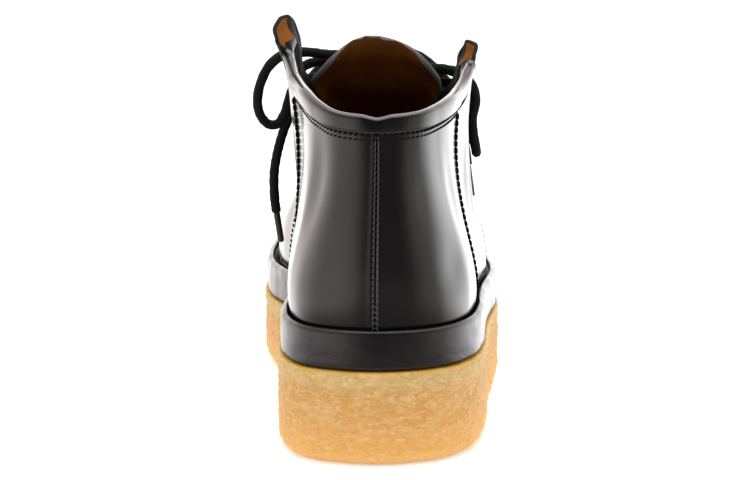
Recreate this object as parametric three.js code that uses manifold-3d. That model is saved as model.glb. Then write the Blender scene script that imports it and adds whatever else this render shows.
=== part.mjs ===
// A lace-up ankle boot for the right foot, on a thick crepe platform, built as separate pieces.
// Millimetres, +Z up, the toe towards +Y, the outer side of the foot towards +X.
// The origin lies on the floor, under the middle of the sole.
import * as THREE from "three";
import { mergeVertices } from "three/addons/utils/BufferGeometryUtils.js";
import Module from "manifold-3d";

const wasm = await Module();
wasm.setup();

// Driving dimensions
const SOLE_LENGTH = 276; // crepe sole, heel to toe
const BALL_WIDTH = 83; // foot outline across the ball, where the upper meets the sole
const HEEL_CREPE = 32; // crepe thickness under the heel
const BALL_CREPE = 26; // crepe thickness under the ball and toes
const TOE_SPRING = 9; // how far the toe tip curls up from the floor
const TREAD_RADIUS = 4.5; // rounding of the crepe's lower edge
const CREPE_STEP = 1.2; // how far the crepe stands out past the midsole
const MIDSOLE_HEIGHT = 14; // height of the wrapped midsole's side
const LEDGE = 4.8; // how far the midsole stands out past the foot outline
const RIM_RADIUS = 1.9; // rounding of the midsole's upper edge
const BED_DEPTH = 2.2; // how deep the upper sits below the midsole's rim
const GROOVE = 2.4; // how far the upper's bed reaches past the foot outline
const COLLAR_HEIGHT = 71; // midsole rim to collar at the back seam
const WALL = 2.2; // vamp leather with its lining
const QUARTER_STEP = 0.8; // the quarters lie this much proud of the vamp
const BACK_STEP = 0.5; // the back panels lie this much proud of the quarters
const BAND_STEP = 0.7; // the collar band lies this much proud of the panels
const BAND_WIDTH = 6.5; // height of the collar band
const EDGE_ROUNDING = 0.6; // rounding of the upper's top edge
const INSOLE_THICKNESS = 4;
const TONGUE_THICKNESS = 2.6;
const TONGUE_TUCK = 8; // how far the tongue's lower end reaches under the vamp and the facings
const LACE_DIAMETER = 3.6;
const AGLET_DIAMETER = 2.6;
const AGLET_LENGTH = 12;
const HOLE_DIAMETER = 4.6; // punched lace holes
const HOLE_INSET = 8.5; // hole centre to the edge of the facing
const LACE_ARCH = 0.065; // how far a run of lace arches over the tongue, as a share of its width
const GAP = 0.3; // between pieces that touch

const CREPE_OVERHANG = LEDGE + CREPE_STEP;
const FOOT_LENGTH = SOLE_LENGTH - 2 * CREPE_OVERHANG;
const HEEL_RIM = HEEL_CREPE + MIDSOLE_HEIGHT;

// Places round the upper, from 0 at the back seam to 1 at the toe tip
const OUTER_SEAM = 0.265;
const INNER_SEAM = 0.32;
const FACING_TOP = 0.43;
const TIP_END = 0.52; // front of the facing's raised tip
const FACING_FOOT = 0.71;
const HOLES = [0.585, 0.62, 0.652, 0.684];
const SEAM_HALF_WIDTH = 0.003;
const SOLE_COUNT = 76; // columns round each sole
const BUNCHING = 0.65; // how much closer together the columns are at the heel and the toe

// Each table names its columns, and has a row for each place round the upper.
// Widths are shares of the ball width, lengths of the foot length, heights of the collar height.
const table = (names, rows) => {
  const keys = names.split(" ");
  return rows.map((row) =>
    Object.fromEntries(keys.map((key, i) => [key, row[i]])),
  );
};

// The foot outline, where the upper meets the sole
const FOOT_OUTLINE = table("place outer inner outerAlong innerAlong", [
  [0.0, -0.031, 0.031, 0.0, 0.0],
  [0.07, 0.2, 0.262, 0.022, 0.024],
  [0.14, 0.322, 0.35, 0.075, 0.078],
  [0.2, 0.367, 0.369, 0.14, 0.143],
  [0.27, 0.385, 0.358, 0.21, 0.21],
  [0.35, 0.4, 0.335, 0.272, 0.27],
  [0.44, 0.422, 0.322, 0.335, 0.335],
  [0.53, 0.447, 0.33, 0.395, 0.393],
  [0.62, 0.468, 0.366, 0.448, 0.448],
  [0.71, 0.483, 0.428, 0.505, 0.508],
  [0.78, 0.487, 0.485, 0.58, 0.588],
  [0.84, 0.475, 0.507, 0.672, 0.68],
  [0.89, 0.442, 0.492, 0.768, 0.775],
  [0.93, 0.37, 0.442, 0.862, 0.868],
  [0.965, 0.235, 0.325, 0.947, 0.951],
  [1.0, -0.085, 0.085, 1.0, 1.0],
]);

// The top edge: collar, facing and the end of the throat
const TOP_EDGE = table(
  "place outer inner outerAlong innerAlong outerUp innerUp",
  [
    [0.0, -0.024, 0.024, 0.03, 0.03, 0.992, 0.992],
    [0.07, 0.13, 0.179, 0.045, 0.044, 1.002, 1.006],
    [0.14, 0.214, 0.265, 0.088, 0.086, 1.018, 1.039],
    [0.2, 0.276, 0.319, 0.14, 0.138, 1.038, 1.075],
    [0.27, 0.32, 0.357, 0.203, 0.2, 1.056, 1.095],
    [0.34, 0.355, 0.389, 0.25, 0.25, 1.088, 1.13],
    [0.395, 0.378, 0.405, 0.284, 0.288, 1.13, 1.178],
    [0.43, 0.391, 0.418, 0.306, 0.308, 1.157, 1.222],
    [0.447, 0.384, 0.418, 0.316, 0.314, 1.19, 1.271],
    [0.459, 0.388, 0.416, 0.327, 0.323, 1.232, 1.32],
    [0.475, 0.377, 0.41, 0.334, 0.333, 1.247, 1.37],
    [0.488, 0.366, 0.396, 0.34, 0.34, 1.252, 1.381],
    [0.5, 0.37, 0.392, 0.346, 0.348, 1.239, 1.357],
    [0.515, 0.362, 0.384, 0.353, 0.358, 1.2, 1.285],
    [0.54, 0.36, 0.384, 0.38, 0.382, 1.12, 1.15],
    [0.57, 0.33, 0.345, 0.417, 0.417, 1.0, 1.03],
    [0.6, 0.285, 0.29, 0.455, 0.455, 0.945, 0.965],
    [0.66, 0.226, 0.231, 0.54, 0.54, 0.83, 0.84],
    [0.71, 0.162, 0.162, 0.621, 0.621, 0.705, 0.705],
    [0.74, 0.135, 0.135, 0.645, 0.645, 0.67, 0.67],
    [0.85, 0.063, 0.063, 0.655, 0.655, 0.655, 0.655],
    [1.0, 0.0, 0.0, 0.656, 0.656, 0.655, 0.655],
  ],
);

// How far the tips of the facings curl outwards and back, as shares of the ball width
const TIP_FLARE = table("place outer inner", [
  [0.0, 0, 0],
  [0.425, 0, 0],
  [0.447, 0.021, 0.045],
  [0.459, 0.028, 0.058],
  [0.475, 0.021, 0.042],
  [0.488, 0.008, 0.018],
  [0.505, 0, 0],
  [1.0, 0, 0],
]);
const FLARE_FROM = 0.87; // the share of the wall's height where the curl begins

// The bow: its knot, and routes of the loops and loose ends, in millimetres from the crepe's back
const KNOT = [-3, 125.7, 124.6];
const KNOT_SIZE = [13, 7.5, 9.5];
const LEFT_LOOP = [
  [-9.7, 121.3, 127],
  [-20, 117, 127.5],
  [-29, 112.6, 128.8],
  [-36.2, 111.3, 128.2],
  [-42, 112, 124],
  [-46, 114, 116],
  [-47, 116, 108.5],
  [-45.6, 117.6, 103.6],
  [-42.8, 118.7, 100.8],
  [-39.6, 119.2, 101],
  [-37.1, 119, 104.6],
  [-34.4, 118, 113],
  [-30.2, 119, 122.3],
  [-21, 121.5, 125],
  [-9.7, 125.5, 124.5],
];
const LEFT_END = [
  [-6, 130.7, 123.5],
  [-13, 134.3, 126.2],
  [-20, 133.2, 123.8],
  [-26.5, 130.5, 118],
  [-32, 129, 109],
  [-37.5, 127, 98],
  [-41.2, 125, 83],
  [-41.3, 126, 71],
  [-40.7, 126.5, 66],
];
const RIGHT_LOOP = [
  [3.7, 121.3, 126],
  [10, 120.6, 124.5],
  [17, 120.4, 122.4],
  [23.5, 119.6, 121.8],
  [29.6, 117.5, 120.4],
  [34, 115, 116.2],
  [35.4, 113.8, 110.6],
  [34.2, 113.4, 104],
  [34.6, 113.8, 98],
  [35.6, 115.2, 93],
  [36, 117.6, 90.3],
  [36, 120.8, 90.2],
  [35.6, 123.3, 92.6],
  [34, 124.4, 97.5],
  [33.7, 123, 104.5],
  [33.5, 121.4, 111.5],
  [31.2, 121, 117.6],
  [26.2, 122.6, 120.8],
  [20, 124.2, 121.6],
  [11, 125, 122.8],
  [3.7, 125.5, 124.3],
];
const RIGHT_END = [
  [0, 130.7, 123.5],
  [7, 135.4, 126.9],
  [14, 135, 125.6],
  [21, 132.3, 120.4],
  [27, 129.5, 113],
  [30.4, 128.9, 105],
  [31.6, 128.7, 95],
  [33.2, 128.1, 84],
];

// How the wall leaves the sole, out and up, and how it reaches the top edge
const WALL_SHAPE = table(
  "place lowOut innerLowOut lowUp highOut innerHighOut highAlong highDown",
  [
    [0.0, 0.062, 0.062, 0.38, 0.0, 0.0, -0.012, 0.4],
    [0.14, 0.058, 0.062, 0.3, -0.03, -0.045, -0.004, 0.48],
    [0.27, 0.042, 0.07, 0.24, -0.085, -0.1, 0.0, 0.55],
    [0.42, 0.03, 0.04, 0.24, -0.075, -0.065, 0.008, 0.75],
    [0.5, 0.015, 0.03, 0.22, -0.035, -0.02, 0.004, 0.6],
    [0.6, 0.01, 0.025, 0.24, 0.0, 0.04, 0.005, 0.35],
    [0.71, 0.03, 0.03, 0.32, 0.14, 0.13, 0.012, 0.12],
    [0.8, 0.035, 0.035, 0.38, 0.17, 0.17, 0.05, 0.1],
    [0.9, 0.035, 0.035, 0.45, 0.14, 0.15, 0.13, 0.15],
    [1.0, 0.03, 0.03, 0.55, -0.02, 0.02, 0.175, 0.13],
  ],
);

// The tongue where it lies under the facings: the place it passes, how far it reaches under them,
// and how far its middle arches, as a share of its width there
const TONGUE_BELOW = table("place tuck arch", [
  [0.69, 6, 0.02],
  [0.66, 7, 0.04],
  [0.625, 8, 0.06],
  [0.59, 7, 0.08],
]);

// The tongue above the facings' fold: along, up, half width, how far its edges fall back, its lean
const TONGUE_ABOVE = table("along up half fallBack lean", [
  [0.43, 1.05, 0.296, 0.14, -0.028],
  [0.408, 1.135, 0.25, 0.17, -0.022],
  [0.397, 1.175, 0.217, 0.17, -0.022],
  [0.391, 1.212, 0.163, 0.12, -0.022],
  [0.388, 1.24, 0.095, 0.05, -0.033],
  [0.387, 1.258, 0.03, 0.02, -0.045],
]);

const smooth = (from, to, x) => THREE.MathUtils.smoothstep(x, from, to);
const mix = THREE.MathUtils.lerp;
const between = (rows, place, key) => {
  const last = rows.findIndex((row) => row.place >= place);
  const next = rows[Math.max(1, last)];
  const before = rows[Math.max(1, last) - 1];
  const share = (place - before.place) / (next.place - before.place);
  return mix(before[key], next[key], smooth(0, 1, share));
};

// Profile of the sole along its length, measured from the back of the crepe
const treadZ = (along) => {
  const flatEnd = 0.7 * SOLE_LENGTH;
  const share = Math.max(0, along - flatEnd) / (SOLE_LENGTH - flatEnd);
  return TOE_SPRING * share ** 2;
};
const crepeTop = (along) => {
  const drop = smooth(0.2 * SOLE_LENGTH, 0.66 * SOLE_LENGTH, along);
  return treadZ(along) + mix(HEEL_CREPE, BALL_CREPE, drop);
};
const rimZ = (along) => crepeTop(along) + MIDSOLE_HEIGHT;
const bedZ = (along) => rimZ(along) - BED_DEPTH;

// A closed smooth curve through a table: places 0 to 1 are the outer side, 1 to 2 the inner side back.
function closedCurve(rows, outerPoint, innerPoint) {
  const knots = rows.map((row) => ({ at: row.place, p: outerPoint(row) }));
  for (const row of rows.slice(1, -1).reverse())
    knots.push({ at: 2 - row.place, p: innerPoint(row) });
  const count = knots.length;
  const knot = (i) => {
    const turn = Math.floor(i / count);
    const found = knots[i - turn * count];
    return { at: found.at + 2 * turn, p: found.p };
  };
  const slope = (i) => {
    const [a, b, c] = [knot(i - 1), knot(i), knot(i + 1)];
    const before = b.p.clone().sub(a.p).divideScalar(b.at - a.at);
    const after = c.p.clone().sub(b.p).divideScalar(c.at - b.at);
    return before.lerp(after, (b.at - a.at) / (c.at - a.at));
  };
  return (place) => {
    const at = ((place % 2) + 2) % 2;
    const i = knots.findLastIndex((k) => k.at <= at);
    const [a, b] = [knot(i), knot(i + 1)];
    const span = b.at - a.at;
    const t = (at - a.at) / span;
    const [tt, ttt] = [t * t, t * t * t];
    return new THREE.Vector3()
      .addScaledVector(a.p, 2 * ttt - 3 * tt + 1)
      .addScaledVector(slope(i), (ttt - 2 * tt + t) * span)
      .addScaledVector(b.p, 3 * tt - 2 * ttt)
      .addScaledVector(slope(i + 1), (ttt - tt) * span);
  };
}

const isInner = (place) => place > 1;
const fold = (place) => (place > 1 ? 2 - place : place);
const alongOf = (share) => CREPE_OVERHANG + share * FOOT_LENGTH;

const footCurve = closedCurve(
  FOOT_OUTLINE,
  (r) => new THREE.Vector3(r.outer * BALL_WIDTH, alongOf(r.outerAlong), 0),
  (r) => new THREE.Vector3(-r.inner * BALL_WIDTH, alongOf(r.innerAlong), 0),
);
const upOf = (share) => HEEL_RIM + share * COLLAR_HEIGHT;
const topCurve = closedCurve(
  TOP_EDGE,
  (r) =>
    new THREE.Vector3(
      r.outer * BALL_WIDTH,
      alongOf(r.outerAlong),
      upOf(r.outerUp),
    ),
  (r) =>
    new THREE.Vector3(
      -r.inner * BALL_WIDTH,
      alongOf(r.innerAlong),
      upOf(r.innerUp),
    ),
);

// The foot outline grown outwards by a distance, at height 0
function outline(place, grow) {
  const step = 0.002;
  const ahead = footCurve(place + step).sub(footCurve(place - step));
  const outward = new THREE.Vector3(ahead.y, -ahead.x, 0).normalize();
  return footCurve(place).addScaledVector(outward, grow);
}

// A line up the wall, with its top end curled over where the facing has its tip
class WallCurve extends THREE.CubicBezierCurve3 {
  constructor(foot, low, high, top, curl) {
    super(foot, low, high, top);
    this.curl = curl;
  }
  getPoint(share, target = new THREE.Vector3()) {
    const reach = Math.max(0, (share - FLARE_FROM) / (1 - FLARE_FROM)) ** 2;
    return super.getPoint(share, target).addScaledVector(this.curl, reach);
  }
}

// The upper's base surface: from the foot outline, share 0, to the top edge, share 1
function upperCurve(place) {
  const shape = (key) => between(WALL_SHAPE, fold(place), key);
  const side = isInner(place) ? -1 : 1;
  const foot = footCurve(place);
  foot.z = bedZ(foot.y) + GAP;
  const lowOut = shape(isInner(place) ? "innerLowOut" : "lowOut");
  const low = outline(place, lowOut * BALL_WIDTH);
  low.z = foot.z + shape("lowUp") * COLLAR_HEIGHT;
  const top = topCurve(place);
  const highOut = shape(isInner(place) ? "innerHighOut" : "highOut");
  const high = new THREE.Vector3(
    top.x + side * highOut * BALL_WIDTH,
    top.y + shape("highAlong") * FOOT_LENGTH,
    top.z - shape("highDown") * COLLAR_HEIGHT,
  );
  const flare = between(TIP_FLARE, fold(place), isInner(place) ? "inner" : "outer") * BALL_WIDTH;
  return new WallCurve(foot, low, high, top, new THREE.Vector3(side * flare, -flare, 0));
}
const upperPoint = (place, share) => upperCurve(place).getPoint(share);
function upperNormal(place, share) {
  const step = 0.004;
  const low = Math.max(0, share - step);
  const high = Math.min(1, share + step);
  const round = upperPoint(place + step, share).sub(
    upperPoint(place - step, share),
  );
  const up = upperPoint(place, high).sub(upperPoint(place, low));
  return round.cross(up).normalize();
}

// The share along a column at a distance below the top edge
function shareBelowTop(place, distance) {
  const curve = upperCurve(place);
  return curve.getUtoTmapping(1 - distance / curve.getLength());
}

const bandWidth = (place) => BAND_WIDTH * (1 - 0.6 * smooth(0.36, FACING_TOP, fold(place)));
const panelStep = (place) => {
  const quarter = fold(place) < FACING_FOOT ? QUARTER_STEP : 0;
  const seam = isInner(place) ? INNER_SEAM : OUTER_SEAM;
  const back = fold(place) < seam ? BACK_STEP : 0;
  return quarter + back;
};
const bandStep = (place, distance) =>
  fold(place) < FACING_TOP && distance < bandWidth(place) ? BAND_STEP : 0;
// How far the outer face stands off the base surface
const outerStep = (place, distance) =>
  panelStep(place) + bandStep(place, distance);

// Turns rings of points into one closed solid. Without caps the last ring joins the first.
function solidOf(rings, capped) {
  const count = rings[0].length;
  const positions = rings.flat().flatMap((p) => [p.x, p.y, p.z]);
  const index = [];
  const at = (ring, i) => (ring % rings.length) * count + (i % count);
  const joins = capped ? rings.length - 1 : rings.length;
  for (let r = 0; r < joins; r++)
    for (let i = 0; i < count; i++)
      index.push(
        ...[at(r, i), at(r, i + 1), at(r + 1, i + 1)],
        ...[at(r, i), at(r + 1, i + 1), at(r + 1, i)],
      );
  if (capped) {
    const last = rings.length - 1;
    for (let i = 0; i < count / 2; i++) {
      const [a, b] = [i, i + 1];
      const [c, d] = [count - i - 1, (count - i) % count];
      const quad = [
        [a, c, b],
        [a, d, c],
      ].filter((t) => new Set(t).size === 3);
      for (const t of quad) {
        index.push(...t.map((i) => at(0, i)));
        index.push(...t.map((i) => at(last, i)).reverse());
      }
    }
  }
  const geometry = new THREE.BufferGeometry();
  geometry.setAttribute(
    "position",
    new THREE.Float32BufferAttribute(positions, 3),
  );
  geometry.setIndex(index);
  return geometry;
}

// Places bunched towards the heel and the toe, where the outline turns most
const bunched = (t) => t - (BUNCHING * Math.sin(2 * Math.PI * t)) / (2 * Math.PI);
const SOLE_COLUMNS = Array.from({ length: SOLE_COUNT }, (_, i) => bunched((2 * i) / SOLE_COUNT));
// A ring round the sole: how far it stands out, and its height from the place along the sole
const soleRing = (grow, height) =>
  SOLE_COLUMNS.map((place) => {
    const p = outline(place, grow);
    p.z = height(p.y);
    return p;
  });
// A quarter circle's rings, from the level face round to the upright one
const arcSteps = (count) =>
  Array.from({ length: count + 1 }, (_, i) => (i * Math.PI) / 2 / count);

function crepeSole() {
  const r = TREAD_RADIUS;
  const rings = arcSteps(3).map((a) =>
    soleRing(
      CREPE_OVERHANG - r + r * Math.sin(a),
      (y) => treadZ(y) + r - r * Math.cos(a),
    ),
  );
  const topRounding = 0.8;
  rings.push(
    soleRing(CREPE_OVERHANG, (y) => crepeTop(y) - topRounding),
    soleRing(CREPE_OVERHANG - topRounding, crepeTop),
  );
  return solidOf(rings, true);
}

function midsole() {
  const lowRounding = 0.8;
  const rings = [
    soleRing(LEDGE - lowRounding, (y) => crepeTop(y) + GAP),
    soleRing(LEDGE, (y) => crepeTop(y) + GAP + lowRounding),
  ];
  for (const a of arcSteps(3))
    rings.push(
      soleRing(
        LEDGE - RIM_RADIUS + RIM_RADIUS * Math.cos(a),
        (y) => rimZ(y) - RIM_RADIUS + RIM_RADIUS * Math.sin(a),
      ),
    );
  rings.push(
    soleRing(GROOVE + GAP, (y) => rimZ(y) - GAP),
    soleRing(GROOVE, bedZ),
  );
  return solidOf(rings, true);
}

function insole() {
  const shrink = -(WALL + 5 * GAP);
  const edge = 1;
  return solidOf(
    [
      soleRing(shrink, (y) => bedZ(y) + GAP),
      soleRing(shrink, (y) => bedZ(y) + GAP + INSOLE_THICKNESS - edge),
      soleRing(shrink - edge, (y) => bedZ(y) + GAP + INSOLE_THICKNESS),
    ],
    true,
  );
}

// Columns of the upper for one side: even within each panel, with a pair at each seam
function sideColumns(sideSeam) {
  const seam = SEAM_HALF_WIDTH;
  const spans = table("from to count power", [
    [0, sideSeam - seam, 12, 1.35],
    [sideSeam + seam, FACING_TOP - seam, 8, 1],
    [FACING_TOP + seam, TIP_END, 6, 1],
    [TIP_END + 0.02, FACING_FOOT - seam, 9, 1.1],
    [FACING_FOOT + seam, 1, 14, 0.65],
  ]);
  return spans.flatMap(({ from, to, count, power }) =>
    Array.from({ length: count + 1 }, (_, i) => mix(from, to, (i / count) ** power)),
  );
}
const UPPER_COLUMNS = [
  ...sideColumns(OUTER_SEAM),
  ...sideColumns(INNER_SEAM)
    .slice(1, -1)
    .reverse()
    .map((place) => 2 - place),
];

// A ring round the upper at a share of each column's length, a distance below the top edge
// and an offset from the base surface
function upperRing(distanceOf, offsetOf) {
  return UPPER_COLUMNS.map((place) => {
    const length = upperCurve(place).getLength();
    const distance = distanceOf(place, length);
    const share = shareBelowTop(place, distance);
    return upperPoint(place, share).addScaledVector(
      upperNormal(place, share),
      offsetOf(place, distance),
    );
  });
}

function upperShell() {
  const under = (place) => bandWidth(place) + BAND_STEP;
  const spread = (rows) => Array.from({ length: rows }, (_, i) => i / (rows - 1));
  const bodyDistance = (share) => (place, length) =>
    mix(length, under(place), share);
  const rim = EDGE_ROUNDING;
  const outer = [
    ...spread(8).map((share) => upperRing(bodyDistance(share), outerStep)),
    upperRing((place) => bandWidth(place) - GAP, outerStep),
    upperRing(() => rim, outerStep),
    upperRing(
      () => 0,
      (place, d) => outerStep(place, d) - rim,
    ),
  ];
  const inner = [
    upperRing(
      () => 0,
      () => rim - WALL,
    ),
    upperRing(
      () => rim,
      () => -WALL,
    ),
    upperRing(
      (place) => bandWidth(place),
      () => -WALL,
    ),
    ...spread(6).reverse().map((share) =>
      upperRing(bodyDistance(share), () => -WALL),
    ),
  ];
  // The lower edge is cut level, so the wall stands on the midsole all the way across.
  outer[0].forEach((p, i) => {
    p.z = bedZ(p.y) + GAP;
    inner.at(-1)[i].z = bedZ(inner.at(-1)[i].y) + GAP;
  });
  return solidOf([...outer, ...inner], false);
}

// Manifold solids from three.js geometry, and back
function toManifold(geometry) {
  const bare = geometry.clone();
  bare.deleteAttribute("normal");
  bare.deleteAttribute("uv");
  const merged = mergeVertices(bare, 1e-4);
  return new wasm.Manifold(
    new wasm.Mesh({
      numProp: 3,
      vertProperties: merged.attributes.position.array,
      triVerts: new Uint32Array(merged.index.array),
    }),
  );
}
function fromManifold(solid) {
  const mesh = solid.getMesh();
  const geometry = new THREE.BufferGeometry();
  geometry.setAttribute(
    "position",
    new THREE.Float32BufferAttribute(mesh.vertProperties, 3),
  );
  geometry.setIndex(new THREE.Uint32BufferAttribute(mesh.triVerts, 1));
  return geometry;
}

// Where a lace hole's axis crosses the facing, and which way it points
function holeFrame(place) {
  const share = shareBelowTop(place, HOLE_INSET);
  const normal = upperNormal(place, share);
  return { centre: upperPoint(place, share), normal };
}
function holeCutter(place) {
  const { centre, normal } = holeFrame(place);
  const length = 6 * WALL;
  const drill = new THREE.CylinderGeometry(
    HOLE_DIAMETER / 2,
    HOLE_DIAMETER / 2,
    length,
    12,
  );
  const turn = new THREE.Quaternion().setFromUnitVectors(
    new THREE.Vector3(0, 1, 0),
    normal,
  );
  drill.applyQuaternion(turn).translate(centre.x, centre.y, centre.z);
  return toManifold(drill);
}
function upper() {
  let shell = toManifold(upperShell());
  for (const place of HOLES)
    for (const side of [place, 2 - place])
      shell = shell.subtract(holeCutter(side));
  return fromManifold(shell);
}

// A point just inside the upper's wall, a distance below its top edge
function insideWall(place, distance) {
  const share = shareBelowTop(place, distance);
  const inward = upperNormal(place, share).multiplyScalar(-(WALL + 5 * GAP));
  return upperPoint(place, share).add(inward);
}

// The tongue: sections across, each an arc whose edges fall back towards the leg
function tongue() {
  const across = 12;
  const sections = [];
  const tucked = [0.76, 0.85, 1, 1.15, 1.24];
  sections.push(tucked.map((at) => insideWall(at, TONGUE_TUCK)));
  const throat = [0.71, 0.745, 1, 1.255, 1.29];
  sections.push(throat.map((at, i) => insideWall(at, i % 4 ? 1 : TONGUE_TUCK)));
  for (const { place, tuck, arch } of TONGUE_BELOW) {
    const edges = [place, 2 - place].map((at) => insideWall(at, 1));
    const middle = edges[0].clone().lerp(edges[1], 0.5);
    const width = edges[0].distanceTo(edges[1]);
    middle.add(new THREE.Vector3(0, 0.7, 0.7).multiplyScalar(arch * width));
    sections.push([
      insideWall(place, tuck),
      edges[0],
      middle,
      edges[1],
      insideWall(2 - place, tuck),
    ]);
  }
  for (const r of TONGUE_ABOVE)
    sections.push(
      [1, 0.6, 0, -0.6, -1].map((w) => {
        const half = r.half * BALL_WIDTH;
        return new THREE.Vector3(
          r.lean * BALL_WIDTH + w * half,
          alongOf(r.along) - r.fallBack * half * 2 * w * w,
          upOf(r.up) - 0.4 * r.fallBack * half * 2 * w * w,
        );
      }),
    );
  const rings = sections.map((section, i) => {
    const before = sections[Math.max(0, i - 1)][2];
    const after = sections[Math.min(sections.length - 1, i + 1)][2];
    const ahead = after.clone().sub(before).normalize();
    const inward = new THREE.Vector3(1, 0, 0).cross(ahead);
    const curve = new THREE.CatmullRomCurve3(section);
    const face = (depth) =>
      curve.getPoints(across).map((p) => p.addScaledVector(inward, depth));
    return [...face(0), ...face(TONGUE_THICKNESS).reverse()];
  });
  return solidOf(rings, true);
}

// A cord along a smooth curve through points
function cord(points, diameter, steps) {
  const section = new THREE.Shape();
  section.absarc(0, 0, diameter / 2, 0, 2 * Math.PI);
  return new THREE.ExtrudeGeometry(section, {
    curveSegments: 4,
    steps,
    bevelEnabled: false,
    extrudePath: new THREE.CatmullRomCurve3(points),
  });
}

// Where a lace lies on the facing, over a hole and over the edge beside it
function laceOnFacing(place) {
  const lift = QUARTER_STEP + 5 * GAP + LACE_DIAMETER / 2;
  const { centre, normal } = holeFrame(place);
  const edge = topCurve(place);
  const overEdge = edge.addScaledVector(upperNormal(place, 0.99), lift);
  return [centre.addScaledVector(normal, lift), overEdge];
}
// One run of lace between a hole on the outer side and a hole on the inner side
function laceRun(outerHole, innerHole) {
  const [a, b] = laceOnFacing(outerHole);
  const [d, c] = laceOnFacing(2 - innerHole);
  const middle = b.clone().lerp(c, 0.5);
  const arch = LACE_ARCH * b.distanceTo(c);
  middle.add(new THREE.Vector3(0, 0.8, 0.6).multiplyScalar(arch));
  return toManifold(cord([a, b, middle, c, d], LACE_DIAMETER, 8));
}
function laceCrossings() {
  const last = HOLES.length - 1;
  let laces = laceRun(HOLES[last], HOLES[last]);
  for (let i = 0; i < last; i++) {
    laces = laces.add(laceRun(HOLES[i], HOLES[i + 1]));
    laces = laces.add(laceRun(HOLES[i + 1], HOLES[i]));
  }
  return fromManifold(laces);
}

function laceKnot() {
  const knot = new THREE.SphereGeometry(1, 12, 8);
  knot.scale(...KNOT_SIZE.map((width) => width / 2));
  return knot.rotateX(-0.6).translate(...KNOT);
}

// A route's points, in millimetres from the back of the crepe
const routePoints = (route) => route.map((p) => new THREE.Vector3(...p));
const laceAlong = (route, steps) => cord(routePoints(route), LACE_DIAMETER, steps);

// The stiff tip goes on from the lace's last point, in its last direction
function laceTip(route) {
  const [before, end] = routePoints(route).slice(-2);
  const ahead = end.clone().sub(before).normalize();
  const from = end.clone().addScaledVector(ahead, GAP);
  const to = from.clone().addScaledVector(ahead, AGLET_LENGTH);
  return cord([from, to], AGLET_DIAMETER, 1);
}

const material = (color, roughness) =>
  new THREE.MeshStandardMaterial({ color, roughness, metalness: 0 });
const crepe = material(0xd9a866, 0.75);
const blackLeather = material(0x17161a, 0.22);
const tanLeather = material(0x8a4d1c, 0.6);
const laceCloth = material(0x121113, 0.85);
const tipPlastic = material(0x2a2a2e, 0.4);

const boot = new THREE.Group();
boot.position.y = -SOLE_LENGTH / 2;
function piece(name, geometry, finish) {
  const mesh = new THREE.Mesh(geometry, finish);
  mesh.name = name;
  boot.add(mesh);
}
piece("outsole", crepeSole(), crepe);
piece("midsole", midsole(), blackLeather);
piece("insole", insole(), tanLeather);
piece("upper", upper(), blackLeather);
piece("tongue", tongue(), blackLeather);
piece("lace_crossings", laceCrossings(), laceCloth);
piece("lace_knot", laceKnot(), laceCloth);
piece("lace_loop_left", laceAlong(LEFT_LOOP, 22), laceCloth);
piece("lace_loop_right", laceAlong(RIGHT_LOOP, 22), laceCloth);
piece("lace_end_left", laceAlong(LEFT_END, 14), laceCloth);
piece("lace_end_right", laceAlong(RIGHT_END, 13), laceCloth);
piece("lace_tip_left", laceTip(LEFT_END), tipPlastic);
piece("lace_tip_right", laceTip(RIGHT_END), tipPlastic);

export default boot;
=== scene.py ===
# Looks of the platform lace-up boot: fine surfaces, stitching, lace, materials, light and camera.
# Shapes are worked out in millimetres from the back of the crepe sole, as in the solids,
# and turned to metres in the part's frame when they become meshes.
import math
from collections import namedtuple

import bpy
import numpy as np
from mathutils import Matrix, Vector, noise


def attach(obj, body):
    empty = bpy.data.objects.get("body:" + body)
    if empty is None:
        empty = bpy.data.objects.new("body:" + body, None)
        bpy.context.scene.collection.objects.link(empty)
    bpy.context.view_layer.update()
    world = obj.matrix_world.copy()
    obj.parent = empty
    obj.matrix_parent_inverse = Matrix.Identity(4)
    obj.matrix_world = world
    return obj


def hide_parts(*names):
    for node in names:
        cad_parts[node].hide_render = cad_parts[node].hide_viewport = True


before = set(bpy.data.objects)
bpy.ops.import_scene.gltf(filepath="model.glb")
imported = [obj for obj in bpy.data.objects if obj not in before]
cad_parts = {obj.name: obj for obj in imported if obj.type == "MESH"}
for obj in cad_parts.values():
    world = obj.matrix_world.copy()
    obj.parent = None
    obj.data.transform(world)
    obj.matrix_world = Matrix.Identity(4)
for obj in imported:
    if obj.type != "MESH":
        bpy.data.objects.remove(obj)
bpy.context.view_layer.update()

# Sizes shared with the solids
SOLE_LENGTH = 276
BALL_WIDTH = 83
HEEL_CREPE = 32
BALL_CREPE = 26
TOE_SPRING = 9
TREAD_RADIUS = 4.5
CREPE_STEP = 1.2
MIDSOLE_HEIGHT = 14
LEDGE = 4.8
RIM_RADIUS = 1.9
BED_DEPTH = 2.2
GROOVE = 2.4
COLLAR_HEIGHT = 71
WALL = 2.2
QUARTER_STEP = 0.8
BACK_STEP = 0.5
BAND_STEP = 0.7
BAND_WIDTH = 6.5
TONGUE_THICKNESS = 2.6
LACE_DIAMETER = 3.6
AGLET_DIAMETER = 2.6
AGLET_LENGTH = 12
HOLE_DIAMETER = 4.6
HOLE_INSET = 8.5
LACE_ARCH = 0.065
GAP = 0.3
CREPE_OVERHANG = LEDGE + CREPE_STEP
FOOT_LENGTH = SOLE_LENGTH - 2 * CREPE_OVERHANG
HEEL_RIM = HEEL_CREPE + MIDSOLE_HEIGHT
OUTER_SEAM = 0.265
INNER_SEAM = 0.32
FACING_TOP = 0.43
TIP_END = 0.52
FACING_FOOT = 0.71
HOLES = (0.585, 0.62, 0.652, 0.684)
ROLL_HEIGHT = 1.5
FLARE_FROM = 0.87

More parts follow.
